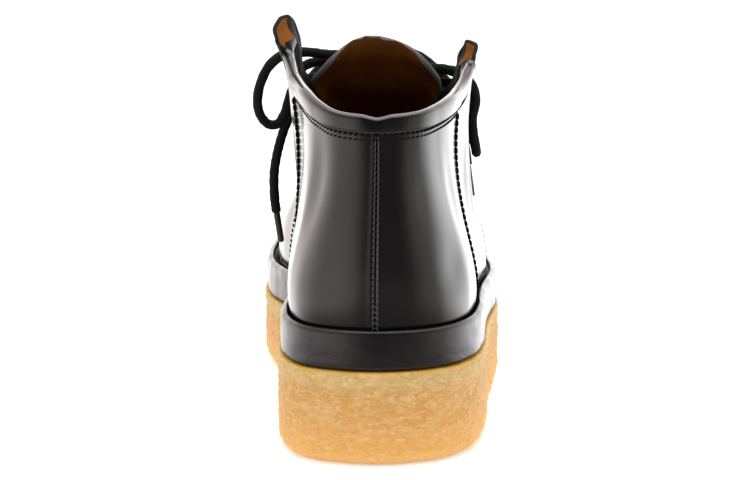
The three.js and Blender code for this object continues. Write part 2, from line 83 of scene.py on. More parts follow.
# Fine sizes that only the looks have
CREPE_BEVEL = 0.8
RAND_BEVEL = 1.4
BOARD_THICKNESS = 3.8
BOARD_ROUNDING = 1.4
BOARD_CROWN = 0.1
CLEARANCE = 5 * GAP
BAND_ROLL = 0.35
COLLAR_DIP = 1.0
COLLAR_DIP_REACH = 5.5
TIP_PARING = 1.5
BRAID_PITCH = 4.2
BRAID_DEPTH = 0.1
BRAID_STRANDS = 3
WRAP_WIDTH = 4.4
WRAP_RADIUS = 1.7
BUNDLE_RADIUS = 1.6
SHADOW_STRIP_LIFT = 0.1
PLACE_STEP = 0.002
SIDES = (("outer", 1), ("inner", -1))


def table(names, rows):
    columns = np.array(rows, float).T
    return dict(zip(names.split(), columns))


FOOT_OUTLINE = table("place outer inner outer_along inner_along", [
    (0.0, -0.031, 0.031, 0.0, 0.0),
    (0.07, 0.2, 0.262, 0.022, 0.024),
    (0.14, 0.322, 0.35, 0.075, 0.078),
    (0.2, 0.367, 0.369, 0.14, 0.143),
    (0.27, 0.385, 0.358, 0.21, 0.21),
    (0.35, 0.4, 0.335, 0.272, 0.27),
    (0.44, 0.422, 0.322, 0.335, 0.335),
    (0.53, 0.447, 0.33, 0.395, 0.393),
    (0.62, 0.468, 0.366, 0.448, 0.448),
    (0.71, 0.483, 0.428, 0.505, 0.508),
    (0.78, 0.487, 0.485, 0.58, 0.588),
    (0.84, 0.475, 0.507, 0.672, 0.68),
    (0.89, 0.442, 0.492, 0.768, 0.775),
    (0.93, 0.37, 0.442, 0.862, 0.868),
    (0.965, 0.235, 0.325, 0.947, 0.951),
    (1.0, -0.085, 0.085, 1.0, 1.0),
])
TOP_EDGE = table("place outer inner outer_along inner_along outer_up inner_up", [
    (0.0, -0.024, 0.024, 0.03, 0.03, 0.992, 0.992),
    (0.07, 0.13, 0.179, 0.045, 0.044, 1.002, 1.006),
    (0.14, 0.214, 0.265, 0.088, 0.086, 1.018, 1.039),
    (0.2, 0.276, 0.319, 0.14, 0.138, 1.038, 1.075),
    (0.27, 0.32, 0.357, 0.203, 0.2, 1.056, 1.095),
    (0.34, 0.355, 0.389, 0.25, 0.25, 1.088, 1.13),
    (0.395, 0.378, 0.405, 0.284, 0.288, 1.13, 1.178),
    (0.43, 0.391, 0.418, 0.306, 0.308, 1.157, 1.222),
    (0.447, 0.384, 0.418, 0.316, 0.314, 1.19, 1.271),
    (0.459, 0.388, 0.416, 0.327, 0.323, 1.232, 1.32),
    (0.475, 0.377, 0.41, 0.334, 0.333, 1.247, 1.37),
    (0.488, 0.366, 0.396, 0.34, 0.34, 1.252, 1.381),
    (0.5, 0.37, 0.392, 0.346, 0.348, 1.239, 1.357),
    (0.515, 0.362, 0.384, 0.353, 0.358, 1.2, 1.285),
    (0.54, 0.36, 0.384, 0.38, 0.382, 1.12, 1.15),
    (0.57, 0.33, 0.345, 0.417, 0.417, 1.0, 1.03),
    (0.6, 0.285, 0.29, 0.455, 0.455, 0.945, 0.965),
    (0.66, 0.226, 0.231, 0.54, 0.54, 0.83, 0.84),
    (0.71, 0.162, 0.162, 0.621, 0.621, 0.705, 0.705),
    (0.74, 0.135, 0.135, 0.645, 0.645, 0.67, 0.67),
    (0.85, 0.063, 0.063, 0.655, 0.655, 0.655, 0.655),
    (1.0, 0.0, 0.0, 0.656, 0.656, 0.655, 0.655),
])
# How far the tips of the facings curl outwards and back, as shares of the ball width
TIP_FLARE = table("place outer inner", [
    (0.0, 0, 0), (0.425, 0, 0), (0.447, 0.021, 0.045), (0.459, 0.028, 0.058),
    (0.475, 0.021, 0.042), (0.488, 0.008, 0.018), (0.505, 0, 0), (1.0, 0, 0),
])
WALL_SHAPE = table("place low_out inner_low_out low_up high_out inner_high_out high_along high_down", [
    (0.0, 0.062, 0.062, 0.38, 0.0, 0.0, -0.012, 0.4),
    (0.14, 0.058, 0.062, 0.3, -0.03, -0.045, -0.004, 0.48),
    (0.27, 0.042, 0.07, 0.24, -0.085, -0.1, 0.0, 0.55),
    (0.42, 0.03, 0.04, 0.24, -0.075, -0.065, 0.008, 0.75),
    (0.5, 0.015, 0.03, 0.22, -0.035, -0.02, 0.004, 0.6),
    (0.6, 0.01, 0.025, 0.24, 0.0, 0.04, 0.005, 0.35),
    (0.71, 0.03, 0.03, 0.32, 0.14, 0.13, 0.012, 0.12),
    (0.8, 0.035, 0.035, 0.38, 0.17, 0.17, 0.05, 0.1),
    (0.9, 0.035, 0.035, 0.45, 0.14, 0.15, 0.13, 0.15),
    (1.0, 0.03, 0.03, 0.55, -0.02, 0.02, 0.175, 0.13),
])
# Soft troughs of the worn-in leather: their middle, their reach around and up the wall, and their depth
TROUGHS = table("place below around up depth", [
    (1.89, 27, 6, 16, 0.9),
    (1.95, 56, 8, 9, 0.5),
    (1.82, 46, 6, 12, 0.8),
    (0.068, 30, 3.6, 15, 0.45),
    (0.11, 55, 6, 8, 0.8),
    (0.17, 34, 6, 14, 0.8),
    (0.37, 40, 7, 16, 1.0),
    (1.6, 42, 7, 18, 1.0),
])
# Grooves and ridges along the seams: how far from the seam, their half width, and their height
BACK_GROOVE = (0.0, 0.45, -0.35)
BACK_RIDGE = (1.1, 0.8, 0.18)
SIDE_GROOVE = (1.0, 1.1, -0.45)
# Relief of the crepe's side: height, size and seed of each noise
CREPE_LUMPS = ((0.45, 7, 3), (0.4, 2.6, 9), (0.3, 1.2, 5))
LUMPS_SUNK = 0.3
# The tongue under the laces: place on the facing's edge, reach under the facing, and arch
TONGUE_BELOW = ((0.69, 6, 0.02), (0.66, 7, 0.04), (0.625, 8, 0.06), (0.59, 7, 0.08))
# The tongue over the laces: along, up, half width, how far its sides fall back, and lean
TONGUE_ABOVE = (
    (0.43, 1.05, 0.296, 0.14, -0.028),
    (0.408, 1.135, 0.25, 0.17, -0.022),
    (0.397, 1.175, 0.217, 0.17, -0.022),
    (0.391, 1.212, 0.163, 0.12, -0.022),
    (0.388, 1.24, 0.095, 0.05, -0.033),
    (0.387, 1.258, 0.03, 0.02, -0.045),
)
# The bow: its knot's middle, and the lines of its loops and ends
KNOT = (-3, 125.7, 124.6)
LEFT_LOOP = (
    (-9.7, 121.3, 127), (-20, 117, 127.5), (-29, 112.6, 128.8), (-36.2, 111.3, 128.2), (-42, 112, 124),
    (-46, 114, 116), (-47, 116, 108.5), (-45.6, 117.6, 103.6), (-42.8, 118.7, 100.8), (-39.6, 119.2, 101),
    (-37.1, 119, 104.6), (-34.4, 118, 113), (-30.2, 119, 122.3), (-21, 121.5, 125), (-9.7, 125.5, 124.5),
)
LEFT_END = (
    (-6, 130.7, 123.5), (-13, 134.3, 126.2), (-20, 133.2, 123.8), (-26.5, 130.5, 118), (-32, 129, 109),
    (-37.5, 127, 98), (-41.2, 125, 83), (-41.3, 126, 71), (-40.7, 126.5, 66),
)
RIGHT_LOOP = (
    (3.7, 121.3, 126), (10, 120.6, 124.5), (17, 120.4, 122.4), (23.5, 119.6, 121.8), (29.6, 117.5, 120.4),
    (34, 115, 116.2), (35.4, 113.8, 110.6), (34.2, 113.4, 104), (34.6, 113.8, 98), (35.6, 115.2, 93),
    (36, 117.6, 90.3), (36, 120.8, 90.2), (35.6, 123.3, 92.6), (34, 124.4, 97.5), (33.7, 123, 104.5),
    (33.5, 121.4, 111.5), (31.2, 121, 117.6), (26.2, 122.6, 120.8), (20, 124.2, 121.6), (11, 125, 122.8),
    (3.7, 125.5, 124.3),
)
RIGHT_END = (
    (0, 130.7, 123.5), (7, 135.4, 126.9), (14, 135, 125.6), (21, 132.3, 120.4), (27, 129.5, 113),
    (30.4, 128.9, 105), (31.6, 128.7, 95), (33.2, 128.1, 84),
)


# Camera, at the photo's angle to the boot
CAMERA_PLACE = (-0.0026, -0.818, 0.196)
CAMERA_TILT = 9.93
CAMERA_LENS = 101.4


def in_scene(name, data):
    obj = bpy.data.objects.new(name, data)
    bpy.context.scene.collection.objects.link(obj)
    return obj


def set_camera():
    camera = in_scene("camera", bpy.data.cameras.new("camera"))
    camera.location = CAMERA_PLACE
    camera.rotation_euler = (math.radians(90 - CAMERA_TILT), 0, 0)
    camera.data.sensor_width = 36
    camera.data.lens = CAMERA_LENS
    camera.data.clip_start = 0.05
    bpy.context.scene.camera = camera


set_camera()


# Curves and surfaces of the solids, worked out for whole arrays of places at once.
# A place goes round the foot: 0 at the heel, 1 at the toe on the outer side, and back to 2 on the inner side.
def smooth(low, high, x):
    t = np.clip((x - low) / (high - low), 0, 1)
    return t * t * (3 - 2 * t)


def mix(a, b, t):
    return a + (b - a) * t


def unit(vectors):
    return vectors / np.linalg.norm(vectors, axis=-1, keepdims=True)


def lookup(rows, place, key):
    after = np.clip(np.searchsorted(rows["place"], place), 1, len(rows["place"]) - 1)
    start, end = rows["place"][after - 1], rows["place"][after]
    share = smooth(0, 1, (place - start) / (end - start))
    return mix(rows[key][after - 1], rows[key][after], share)


def fold(place):
    place = place % 2
    return np.where(place > 1, 2 - place, place)


def by_side(place, outer, inner):
    return np.where((place % 2) > 1, inner, outer)


def lookup_by_side(rows, place, outer, inner):
    at = fold(place)
    return by_side(place, lookup(rows, at, outer), lookup(rows, at, inner))


def along_of(share):
    return CREPE_OVERHANG + share * FOOT_LENGTH


def up_of(share):
    return HEEL_RIM + share * COLLAR_HEIGHT


def tread_z(along):
    flat_end = 0.7 * SOLE_LENGTH
    share = np.maximum(0, along - flat_end) / (SOLE_LENGTH - flat_end)
    return TOE_SPRING * share**2


def crepe_top(along):
    drop = smooth(0.2 * SOLE_LENGTH, 0.66 * SOLE_LENGTH, along)
    return tread_z(along) + mix(HEEL_CREPE, BALL_CREPE, drop)


def rim_z(along):
    return crepe_top(along) + MIDSOLE_HEIGHT


def bed_z(along):
    return rim_z(along) - BED_DEPTH


# The cubic from one point to the next that leaves and arrives with the given slopes
def cubic(start, start_slope, end, end_slope, t, span):
    return (
        start * (2 * t**3 - 3 * t**2 + 1)
        + start_slope * (t**3 - 2 * t**2 + t) * span
        + end * (3 * t**2 - 2 * t**3)
        + end_slope * (t**3 - t**2) * span
    )


def side_points(rows, side):
    x = rows[side] * (BALL_WIDTH if side == "outer" else -BALL_WIDTH)
    z = up_of(rows[side + "_up"]) if side + "_up" in rows else 0 * x
    return np.stack([x, along_of(rows[side + "_along"]), z], -1)


# A smooth closed curve through the outer side's points and back through the inner side's
def closed_curve(rows):
    at = np.concatenate([rows["place"], 2 - rows["place"][-2:0:-1]])
    points = np.concatenate([side_points(rows, "outer"), side_points(rows, "inner")[-2:0:-1]])
    before_at = np.concatenate([[at[-1] - 2], at[:-1]])
    after_at = np.concatenate([at[1:], [at[0] + 2]])
    before = (points - np.roll(points, 1, 0)) / (at - before_at)[:, None]
    after = (np.roll(points, -1, 0) - points) / (after_at - at)[:, None]
    weight = ((at - before_at) / (after_at - before_at))[:, None]
    slopes = mix(before, after, weight)

    def curve(place):
        place = np.asarray(place, float) % 2
        i = np.searchsorted(at, place, side="right") - 1
        j = (i + 1) % len(at)
        span = after_at[i] - at[i]
        t = (place - at[i]) / span
        return cubic(points[i], slopes[i], points[j], slopes[j], t[..., None], span[..., None])

    return curve


foot_curve = closed_curve(FOOT_OUTLINE)
top_curve = closed_curve(TOP_EDGE)


def outline(place, grow):
    ahead = foot_curve(place + PLACE_STEP) - foot_curve(place - PLACE_STEP)
    outward = unit(np.stack([ahead[..., 1], -ahead[..., 0], 0 * ahead[..., 0]], -1))
    return foot_curve(place) + outward * np.asarray(grow, float)[..., None]


def wall_handles(place):
    at = fold(place)
    foot = foot_curve(place)
    foot[..., 2] = bed_z(foot[..., 1]) + GAP
    low = outline(place, lookup_by_side(WALL_SHAPE, place, "low_out", "inner_low_out") * BALL_WIDTH)
    low[..., 2] = foot[..., 2] + lookup(WALL_SHAPE, at, "low_up") * COLLAR_HEIGHT
    top = top_curve(place)
    high_out = lookup_by_side(WALL_SHAPE, place, "high_out", "inner_high_out")
    high = top + np.stack([
        by_side(place, 1, -1) * high_out * BALL_WIDTH,
        lookup(WALL_SHAPE, at, "high_along") * FOOT_LENGTH,
        -lookup(WALL_SHAPE, at, "high_down") * COLLAR_HEIGHT,
    ], -1)
    return foot, low, high, top


def bezier(handles, t):
    a, b, c, d = handles
    t = t[..., None]
    return a * (1 - t) ** 3 + 3 * b * t * (1 - t) ** 2 + 3 * c * t**2 * (1 - t) + d * t**3


# The wall at a place and a share of its height, with the facing's tip curled outwards and back
def wall_point(place, share):
    flare = lookup_by_side(TIP_FLARE, place, "outer", "inner") * BALL_WIDTH
    curl = np.stack([by_side(place, flare, -flare), -flare, 0 * flare], -1)
    reach = np.clip((share - FLARE_FROM) / (1 - FLARE_FROM), 0, 1) ** 2
    handles = wall_handles(place)
    if share.ndim > place.ndim:
        handles = [h[:, None] for h in handles]
        curl = curl[:, None]
    return bezier(handles, share) + curl * reach[..., None]


WALL_STEPS = np.linspace(0, 1, 65)


def wall_steps(place):
    line = wall_point(place, np.broadcast_to(WALL_STEPS, (len(place), len(WALL_STEPS))))
    return np.linalg.norm(np.diff(line, axis=1), axis=-1)


def wall_length(place):
    return wall_steps(place).sum(1)


# Points and outward normals of the upper's base surface, at a place and a distance below the top edge
def upper_surface(place, distance):
    place, distance = np.broadcast_arrays(np.asarray(place, float), np.asarray(distance, float))
    shape = place.shape
    place, distance = place.ravel(), distance.ravel()
    run = np.concatenate([np.zeros((len(place), 1)), np.cumsum(wall_steps(place), 1)], 1)
    wanted = run[:, -1] - distance
    share = np.array([np.interp(w, r, WALL_STEPS) for w, r in zip(wanted, run)])
    point = wall_point(place, share)
    step = 2 * PLACE_STEP
    up = wall_point(place, np.minimum(1, share + step)) - wall_point(place, np.maximum(0, share - step))
    around = wall_point(place + step, share) - wall_point(place - step, share)
    return point.reshape(shape + (3,)), unit(np.cross(around, up)).reshape(shape + (3,))


def surface_at(place, distance):
    point, normal = upper_surface([place], [distance])
    return point[0], normal[0]


# The collar band narrows towards the facings
def band_width(place):
    return BAND_WIDTH * (1 - 0.6 * smooth(0.36, FACING_TOP, fold(place)))


# Meshes
ORIGIN = np.array([0, SOLE_LENGTH / 2, 0])


def to_metres(points):
    return (np.asarray(points, float) - ORIGIN) * 0.001


def new_object(name, points, faces, materials, face_material=None):
    mesh = bpy.data.meshes.new(name)
    mesh.from_pydata(to_metres(points).tolist(), [], faces)
    for material in materials:
        mesh.materials.append(material)
    if face_material is not None:
        mesh.polygons.foreach_set("material_index", face_material)
    mesh.polygons.foreach_set("use_smooth", [True] * len(mesh.polygons))
    mesh.update()
    return in_scene(name, mesh)


# Quads over rings of points (ring, point, xyz). Rings close round; capped ends are fans round their middle.
def ring_faces(rings, count, closed, capped):
    faces = []
    for r in range(rings if closed else rings - 1):
        low, high = r * count, ((r + 1) % rings) * count
        for i in range(count):
            j = (i + 1) % count
            faces.append((low + i, low + j, high + j, high + i))
    if capped:
        for ring, turned in ((0, True), (rings - 1, False)):
            middle = rings * count + (1 if ring else 0)
            for i in range(count):
                j = (i + 1) % count
                a, b = ring * count + i, ring * count + j
                faces.append((middle, b, a) if turned else (middle, a, b))
    return faces


def ring_mesh(name, rings, materials, closed=False, capped=False, face_material=None):
    rings = np.asarray(rings)
    count = rings.shape[1]
    points = rings.reshape(-1, 3)
    if capped:
        points = np.concatenate([points, rings[:1].mean(1), rings[-1:].mean(1)])
    faces = ring_faces(len(rings), count, closed, capped)
    return new_object(name, points, faces, materials, face_material)


# Smooth noise between -1 and 1 at each point
def wobble(points, size, seed):
    spots = np.asarray(points).reshape(-1, 3) / size + seed
    values = [noise.noise(Vector(p)) for p in spots]
    return np.array(values).reshape(np.asarray(points).shape[:-1])


def new_material(name, color, roughness, **values):
    material = bpy.data.materials.new(name)
    material.use_nodes = True
    shader = material.node_tree.nodes["Principled BSDF"]
    shader.inputs["Base Color"].default_value = (*color, 1)
    shader.inputs["Roughness"].default_value = roughness
    for key, value in values.items():
        shader.inputs[key.replace("_", " ")].default_value = value
    return material


# Builds a material's or the world's nodes. Numbers, colours and other nodes' outputs all serve as inputs.
class Nodes:
    def __init__(self, tree, shader="Principled BSDF"):
        self.tree = tree
        self.shader = tree.nodes[shader]
        self.coordinates = self.node("ShaderNodeTexCoord").outputs
        self.last_bump = None

    def feed(self, socket, value):
        if isinstance(value, tuple):
            socket.default_value = value if socket.type == "VECTOR" else (*value, 1)
        elif isinstance(value, (int, float)):
            socket.default_value = value
        else:
            self.tree.links.new(value, socket)

    def node(self, kind, inputs={}, **settings):
        made = self.tree.nodes.new(kind)
        for key, value in settings.items():
            setattr(made, key, value)
        for key, value in inputs.items():
            self.feed(made.inputs[key], value)
        return made

    def set(self, name, source):
        self.feed(self.shader.inputs[name], source)

    def noise(self, scale, detail, stretch=None, distortion=0):
        place = self.coordinates["Object"]
        if stretch:
            place = self.node("ShaderNodeMapping", {"Vector": place, "Scale": stretch}).outputs["Vector"]
        inputs = {"Vector": place, "Scale": scale, "Detail": detail, "Distortion": distortion}
        return self.node("ShaderNodeTexNoise", inputs).outputs["Fac"]

    def cells(self, scale):
        inputs = {"Vector": self.coordinates["Object"], "Scale": scale}
        return self.node("ShaderNodeTexVoronoi", inputs).outputs["Distance"]

    def attribute(self, name):
        return self.node("ShaderNodeAttribute", attribute_name=name).outputs["Fac"]

    # A ramp of colours, or of greys given as single numbers
    def ramp(self, source, stops, interpolation="LINEAR"):
        node = self.node("ShaderNodeValToRGB", {"Fac": source})
        node.color_ramp.interpolation = interpolation
        elements = node.color_ramp.elements
        while len(elements) < len(stops):
            elements.new(0.5)
        for element, (position, color) in zip(elements, stops):
            element.position = position
            element.color = (*color, 1) if isinstance(color, tuple) else (color, color, color, 1)
        return node.outputs["Color"]

    def mix(self, factor, a, b):
        return self.node("ShaderNodeMix", {0: factor, 6: a, 7: b}, data_type="RGBA").outputs[2]

    def mix_numbers(self, factor, a, b):
        return self.node("ShaderNodeMix", {0: factor, 2: a, 3: b}).outputs[0]

    def calc(self, operation, *values):
        return self.node("ShaderNodeMath", dict(enumerate(values)), operation=operation).outputs[0]

    # Goes smoothly from one value to another while the source goes from low to high
    def fade(self, source, low, high, at_low, at_high):
        inputs = dict(enumerate((source, low, high, at_low, at_high)))
        return self.node("ShaderNodeMapRange", inputs, interpolation_type="SMOOTHSTEP").outputs[0]

    def bump(self, height, strength, distance):
        inputs = {"Height": height, "Strength": strength, "Distance": distance}
        if self.last_bump:
            inputs["Normal"] = self.last_bump
        self.last_bump = self.node("ShaderNodeBump", inputs).outputs["Normal"]
        self.set("Normal", self.last_bump)


# A plain surface with fine bumps: the scale, detail and stretch of each one's noise, its strength and height.
# Uneven gloss is given by the scale of its noise and its lowest and highest roughness.
def surface(name, color, roughness, bumps, uneven=None, **values):
    material = new_material(name, color, roughness, **values)
    nodes = Nodes(material.node_tree)
    if uneven:
        scale, low, high = uneven
        nodes.set("Roughness", nodes.ramp(nodes.noise(scale, 4), [(0.3, low), (0.75, high)]))
    for scale, detail, stretch, strength, height in bumps:
        nodes.bump(nodes.noise(scale, detail, stretch), strength, height)
    return material


# Tan lining leather with a random tone; strength scales its colour, and a low strength gives a copy darkened
# as painted shade
def lining_leather(name, strength):
    material = new_material(name, (0.32, 0.12, 0.03), 0.68, IOR=1.2)
    nodes = Nodes(material.node_tree)
    dark = tuple(c * strength for c in (0.30, 0.095, 0.010))
    light = tuple(c * strength for c in (0.46, 0.165, 0.018))
    nodes.set("Base Color", nodes.ramp(nodes.noise(70, 5), [(0.3, dark), (0.7, light)]))
    nodes.bump(nodes.noise(1600, 3), 0.25, 0.0003)
    return material


# Crepe: the level up its side sets the tone, paler and warmer low down as painted floor-bounce light; random
# paler lumps lie over it, with painted shade darkening the crumbs' pits and painted light paling the raised
# crumbs and flecks
def crepe_rubber():
    material = new_material(
        "crepe_rubber", (0.8, 0.5, 0.16), 0.6, IOR=1.33, Subsurface_Weight=0.15, Subsurface_Scale=0.004
    )
    material.node_tree.nodes["Principled BSDF"].inputs["Subsurface Radius"].default_value = (1, 0.5, 0.2)
    nodes = Nodes(material.node_tree)
    # The crepe's tone up its side, paler and warmer towards the bottom as painted light bounced from the
    # floor
    tone_and_floor_bounce = nodes.ramp(nodes.attribute("level"), [
        (0.0, (0.90, 0.52, 0.15)),
        (0.14, (0.82, 0.44, 0.11)),
        (0.45, (0.67, 0.34, 0.09)),
        (0.76, (0.58, 0.32, 0.095)),
        (0.88, (0.56, 0.39, 0.155)),
        (0.965, (0.54, 0.385, 0.14)),
        (1.0, (0.66, 0.36, 0.03)),
    ])
    crumbs = nodes.noise(300, 8, stretch=(1, 1, 2), distortion=0.8)
    flecks = nodes.noise(520, 5, stretch=(1, 1, 2), distortion=0.5)
    lumps = nodes.noise(60, 4, stretch=(1, 1, 1.6), distortion=0.5)
    # Painted light: paler where the crumbs stand highest
    light = nodes.mix(nodes.ramp(crumbs, [(0.42, 0.0), (0.62, 0.5)]), tone_and_floor_bounce, (0.80, 0.50, 0.22))
    light = nodes.mix(nodes.ramp(lumps, [(0.5, 0.0), (0.75, 0.3)]), light, (0.84, 0.58, 0.32))
    # Painted light: paler on the raised flecks
    light = nodes.mix(nodes.ramp(flecks, [(0.58, 0.0), (0.7, 0.45)]), light, (0.90, 0.68, 0.44))
    # Painted shade: darker in the pits between the crumbs
    light = nodes.mix(nodes.ramp(crumbs, [(0.3, 0.35), (0.44, 0.0)]), light, (0.66, 0.31, 0.04))
    nodes.set("Base Color", light)
    nodes.bump(nodes.noise(700, 4), 0.4, 0.0006)
    nodes.bump(flecks, 0.45, 0.0012)
    nodes.bump(crumbs, 0.6, 0.0018)
    return material


def lace_cotton():
    material = new_material("lace_cotton", (0.006, 0.0065, 0.0065), 0.9, IOR=1.3)
    nodes = Nodes(material.node_tree)
    nodes.bump(nodes.cells(1400), 0.6, 0.0004)
    nodes.bump(nodes.noise(3000, 2), 0.3, 0.0002)
    return material


POLISH_BUMPS = [(1400, 2, None, 0.05, 0.0002), (38, 2, None, 0.12, 0.0015)]
RAND_BUMPS = [(1800, 3, None, 0.15, 0.0003), (130, 3, (1, 1, 2.4), 0.16, 0.0012)]
EDGE_BUMPS = [(900, 3, None, 0.2, 0.0003)]
FINE_BUMPS = [(1500, 2, None, 0.2, 0.0002)]


def grey(value):
    return (value, value, value)


# A black with a trace of blue
def black(value):
    return (value, value, value * 1.05)


leather = surface("polished_leather", (0.003, 0.0027, 0.003), 0.2, POLISH_BUMPS, (60, 0.18, 0.26), IOR=1.5)
rand = surface("rand_leather", (0.0035, 0.0035, 0.004), 0.3, RAND_BUMPS, (90, 0.26, 0.4), IOR=1.5)
lining = lining_leather("lining_leather", 0.62)
# The tongue's lining is the same tan leather, darkened as painted shade deep inside the shaft
painted_shade_tongue_lining = lining_leather("painted_shade_tongue_lining", 0.3)
cut_edge = surface("edge_leather", grey(0.02), 0.7, EDGE_BUMPS, IOR=1.2)
tongue_edge = surface("tongue_edge", grey(0.11), 0.7, EDGE_BUMPS, IOR=1.2)
crepe = crepe_rubber()
cotton = lace_cotton()
thread = surface("thread", black(0.009), 0.8, FINE_BUMPS, IOR=1.12)
pale_thread = surface("pale_thread", black(0.07), 0.8, FINE_BUMPS, IOR=1.2)
# Matte black for the painted shade laid in the seams' channels
seam_shadow = surface("seam_shadow", black(0.003), 0.95, FINE_BUMPS, IOR=1.04)
tip_sleeve = surface("tip_sleeve", black(0.02), 0.4, FINE_BUMPS)


def finish_piece(obj, slot, *nodes):
    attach(obj, "root")
    if nodes:
        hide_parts(*nodes)
    return obj


# Places bunched towards the heel and the toe, where the outline turns most
def bunched(count, bunching=0.65):
    t = 2 * np.arange(count) / count
    return t - bunching * np.sin(2 * np.pi * t) / (2 * np.pi)


def arc(count):
    return np.linspace(0, math.pi / 2, count)


# A sole's profile is a list of pairs: how far a ring stands out, and the height that it follows
def lower_corner(grow, base, radius, count):
    return [
        (grow - radius + radius * math.sin(a), lambda y, a=a: base(y) + radius - radius * math.cos(a))
        for a in arc(count)
    ]


def upper_corner(grow, top, radius, count):
    return [
        (grow - radius + radius * math.cos(a), lambda y, a=a: top(y) - radius + radius * math.sin(a))
        for a in arc(count)
    ]


def straight_side(grow, base, top, shares, swell=0):
    return [(grow + swell * math.sin(math.pi * s), lambda y, s=s: mix(base(y), top(y), s)) for s in shares]


def raised(height, by):
    return lambda y: height(y) + by


def sole_rings(places, profile):
    rings = []
    for grow, height in profile:
        ring = outline(places, np.full(len(places), float(grow)))
        ring[:, 2] = height(ring[:, 1])
        rings.append(ring)
    return np.array(rings)


# Moves the rings from first to last outwards by the given relief
def push_out(rings, places, relief, first, last):
    outward = outline(places, np.ones(len(places))) - outline(places, np.zeros(len(places)))
    side = np.zeros(len(rings))
    side[first:last] = 1
    rings += (relief * side[:, None])[..., None] * outward


def crepe_profile():
    profile = [(mix(-30, CREPE_OVERHANG, share), tread_z) for share in (0.0, 0.5, 0.8)]
    profile += lower_corner(CREPE_OVERHANG, tread_z, TREAD_RADIUS, 9)
    low, high = raised(tread_z, TREAD_RADIUS), raised(crepe_top, -CREPE_BEVEL)
    profile += straight_side(CREPE_OVERHANG, low, high, np.linspace(0.03, 0.97, 44))
    profile += upper_corner(CREPE_OVERHANG, crepe_top, CREPE_BEVEL, 4)
    return profile + [(CREPE_OVERHANG - 8, crepe_top)]


def crepe_sole():
    places = bunched(620, 0.5)
    rings = sole_rings(places, crepe_profile())
    base, top = tread_z(rings[..., 1]), crepe_top(rings[..., 1])
    level = (rings[..., 2] - base) / (top - base)
    stretched = rings * np.array([1, 1, 1.6])
    lumps = sum(height * wobble(stretched, size, seed) for height, size, seed in CREPE_LUMPS) - LUMPS_SUNK
    push_out(rings, places, lumps, 3, -5)
    ragged_edge = rings[3:12]
    ragged_edge[..., 2] += 0.7 * np.abs(wobble(ragged_edge, 1.7, 31)) * np.linspace(0.6, 0, 9)[:, None]
    obj = ring_mesh("crepe_sole", rings, [crepe], capped=True)
    values = np.concatenate([level.ravel(), [0, 1]])
    obj.data.attributes.new("level", "FLOAT", "POINT").data.foreach_set("value", values)
    return finish_piece(obj, "crepe", "outsole")


# The rand from its foot up, over its rim and down the groove to the bed
def rand_profile():
    foot = raised(crepe_top, GAP)
    low, high = raised(foot, RAND_BEVEL), raised(rim_z, -RIM_RADIUS)
    profile = [(LEDGE - 8, foot)] + lower_corner(LEDGE, foot, RAND_BEVEL, 5)
    profile += straight_side(LEDGE, low, high, np.linspace(0.1, 0.9, 10), swell=0.25)
    profile += upper_corner(LEDGE, rim_z, RIM_RADIUS, 9)
    profile += [(GROOVE + 0.25, raised(rim_z, -0.35)), (GROOVE + 0.05, raised(rim_z, -0.9))]
    return profile + [(GROOVE, bed_z), (-6, bed_z)]


def wrapped_midsole():
    places = bunched(420, 0.5)
    rings = sole_rings(places, rand_profile())
    ripple = 0.16 * wobble(rings * np.array([1, 1, 2]), 9, 21)
    push_out(rings, places, ripple, 1, -4)
    obj = ring_mesh("wrapped_midsole", rings, [rand], capped=True)
    return finish_piece(obj, "black_leather", "midsole")


def insole_board():
    grow = -(WALL + CLEARANCE)
    foot = raised(bed_z, GAP)
    top = raised(foot, BOARD_THICKNESS)
    profile = [(grow - 6, foot), (grow, foot)] + upper_corner(grow, top, BOARD_ROUNDING, 6)
    profile.append((grow - 6, raised(top, BOARD_CROWN)))
    obj = ring_mesh("insole_board", sole_rings(bunched(240), profile), [lining], capped=True)
    return finish_piece(obj, "tan_leather", "insole")


# Columns of the upper, closer together at the seams
def upper_places():
    def shares(count):
        return np.linspace(0, 1, count, endpoint=False)

    outer, inner = [np.concatenate([
        mix(0, seam, smooth(0, 1, shares(84))),
        mix(seam, FACING_TOP, shares(44) ** 2),
        np.linspace(FACING_TOP, TIP_END, 84, endpoint=False),
        np.linspace(TIP_END, FACING_FOOT, 54, endpoint=False),
        mix(FACING_FOOT, 1, shares(48) ** 2),
        [1.0],
    ]) for seam in (OUTER_SEAM, INNER_SEAM)]
    return np.concatenate([outer, 2 - inner[-2:0:-1]])


# Depth of the soft troughs, where speed is the millimetres that one unit of place covers
def troughs(place, distance, speed):
    depth = 0 * distance
    for middle, below, around, up, deepest in zip(*TROUGHS.values()):
        from_middle = ((place - middle + 1) % 2 - 1) * speed
        depth = depth + deepest * np.exp(-((from_middle / around) ** 2) - ((distance - below) / up) ** 2)
    return depth


def ridge(distance, shape):
    middle, width, height = shape
    return height * np.exp(-(((distance - middle) / width) ** 2))


